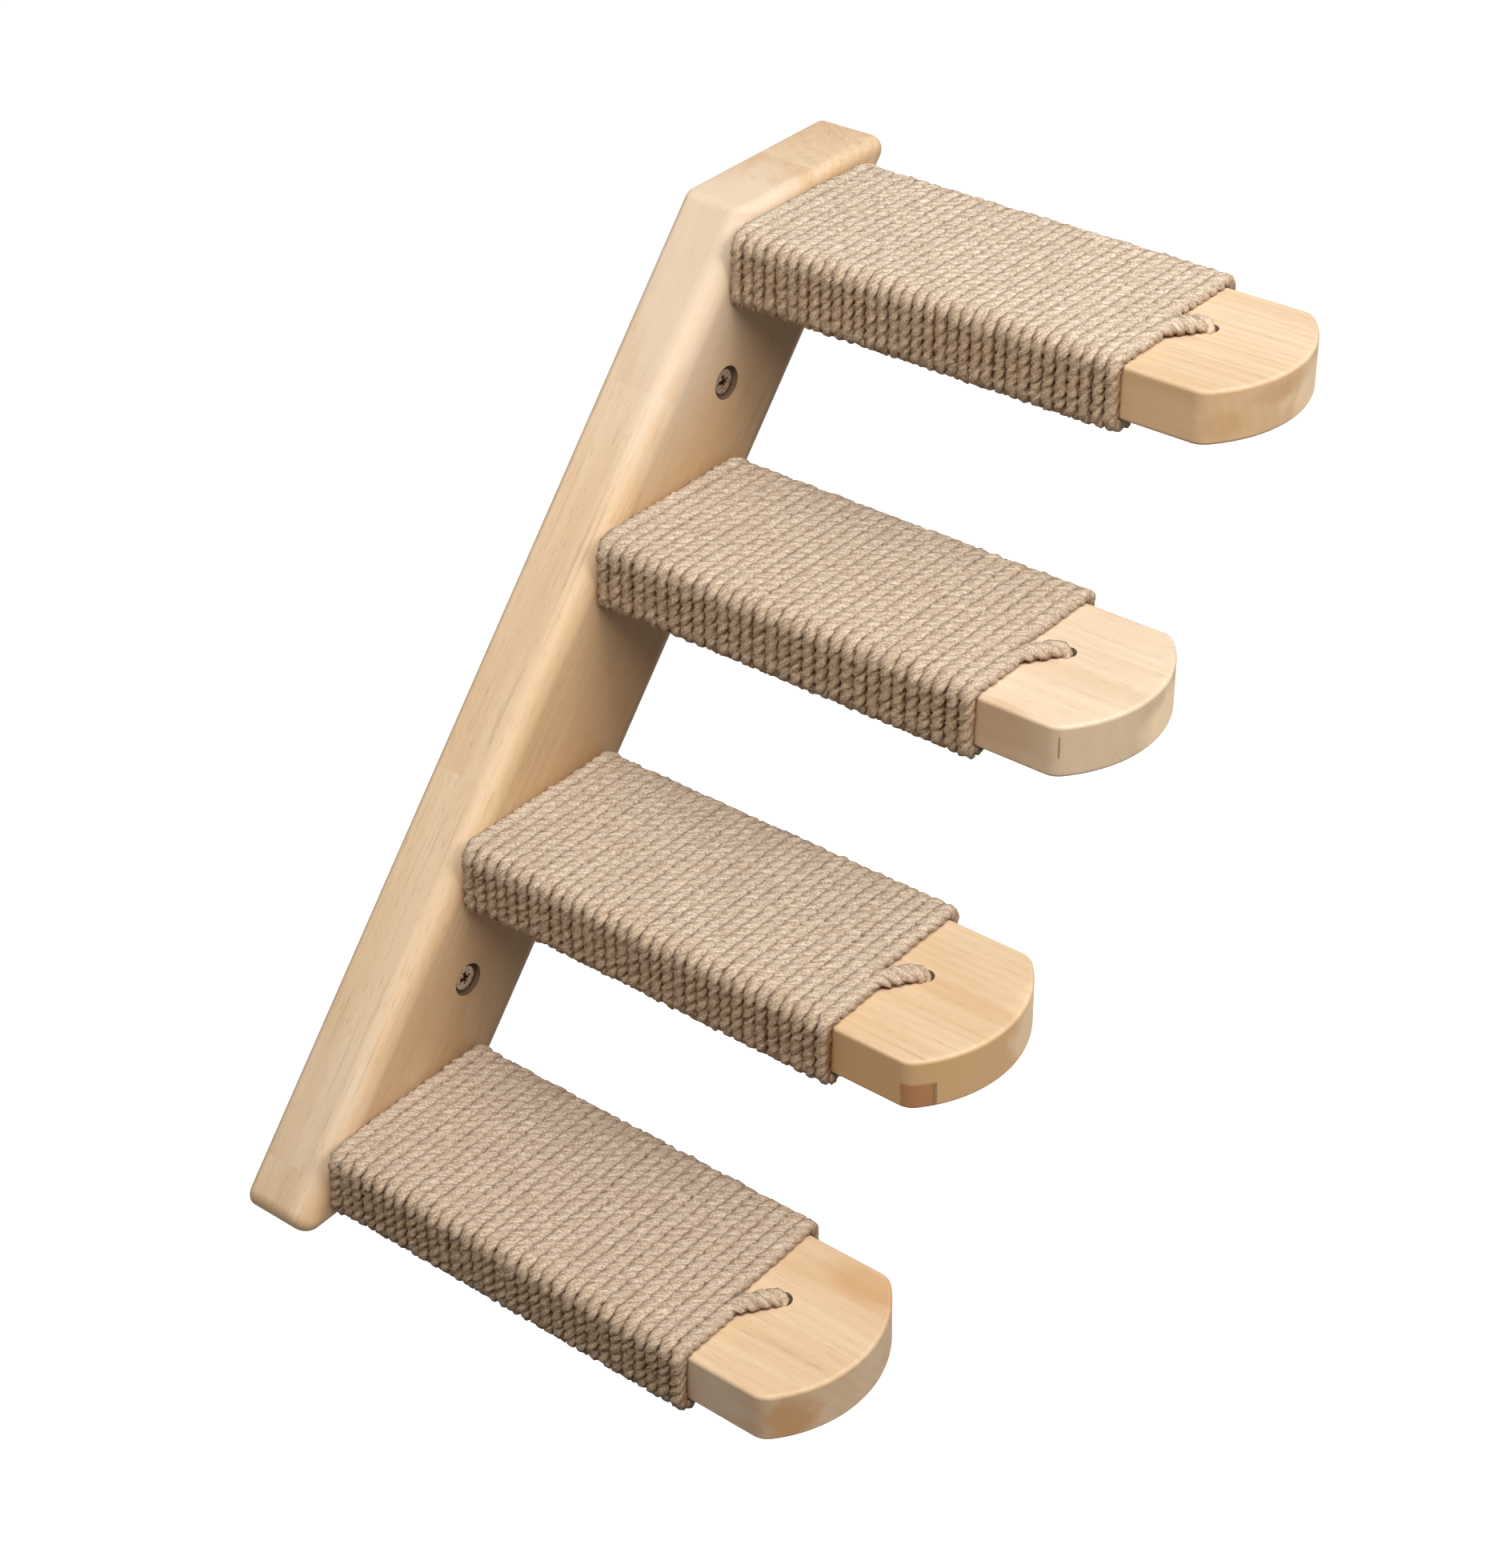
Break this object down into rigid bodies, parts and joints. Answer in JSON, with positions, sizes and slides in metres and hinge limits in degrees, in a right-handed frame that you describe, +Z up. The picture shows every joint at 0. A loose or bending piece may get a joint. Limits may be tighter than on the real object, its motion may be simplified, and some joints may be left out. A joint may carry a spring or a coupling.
{
  "type": "cat wall shelf",
  "caption": "Slanted wooden wall board with level rope-wound steps for a cat, held by countersunk wall screws.",
  "frame": {"origin": "middle of the board's back face, on the wall", "axes": "+Z up, +X to the right as seen from the room, +Y into the wall; the steps reach out along -Y"},
  "size_m": [0.343, 0.2465, 0.2972],
  "materials": {
    "board_wood": "bare sanded softwood",
    "plank_wood": "bare sanded softwood",
    "rope": "natural jute, three strands",
    "zinc_steel": "yellow zinc plated",
    "steel": "plain bright steel"
  },
  "bodies": {
    "root": {"backboard": "board_wood", "step_plank_1": "plank_wood", "step_plank_2": "plank_wood", "step_plank_3": "plank_wood", "step_plank_4": "plank_wood", "rope_winding_1": "rope", "rope_winding_2": "rope", "rope_winding_3": "rope", "rope_winding_4": "rope", "step_screw_1_left": "zinc_steel", "step_screw_1_right": "zinc_steel", "step_screw_2_left": "zinc_steel", "step_screw_2_right": "zinc_steel", "step_screw_3_left": "zinc_steel", "step_screw_3_right": "zinc_steel", "step_screw_4_left": "zinc_steel", "step_screw_4_right": "zinc_steel", "wall_screw_lower": "steel", "wall_screw_upper": "steel"}
  },
  "joints": []
}
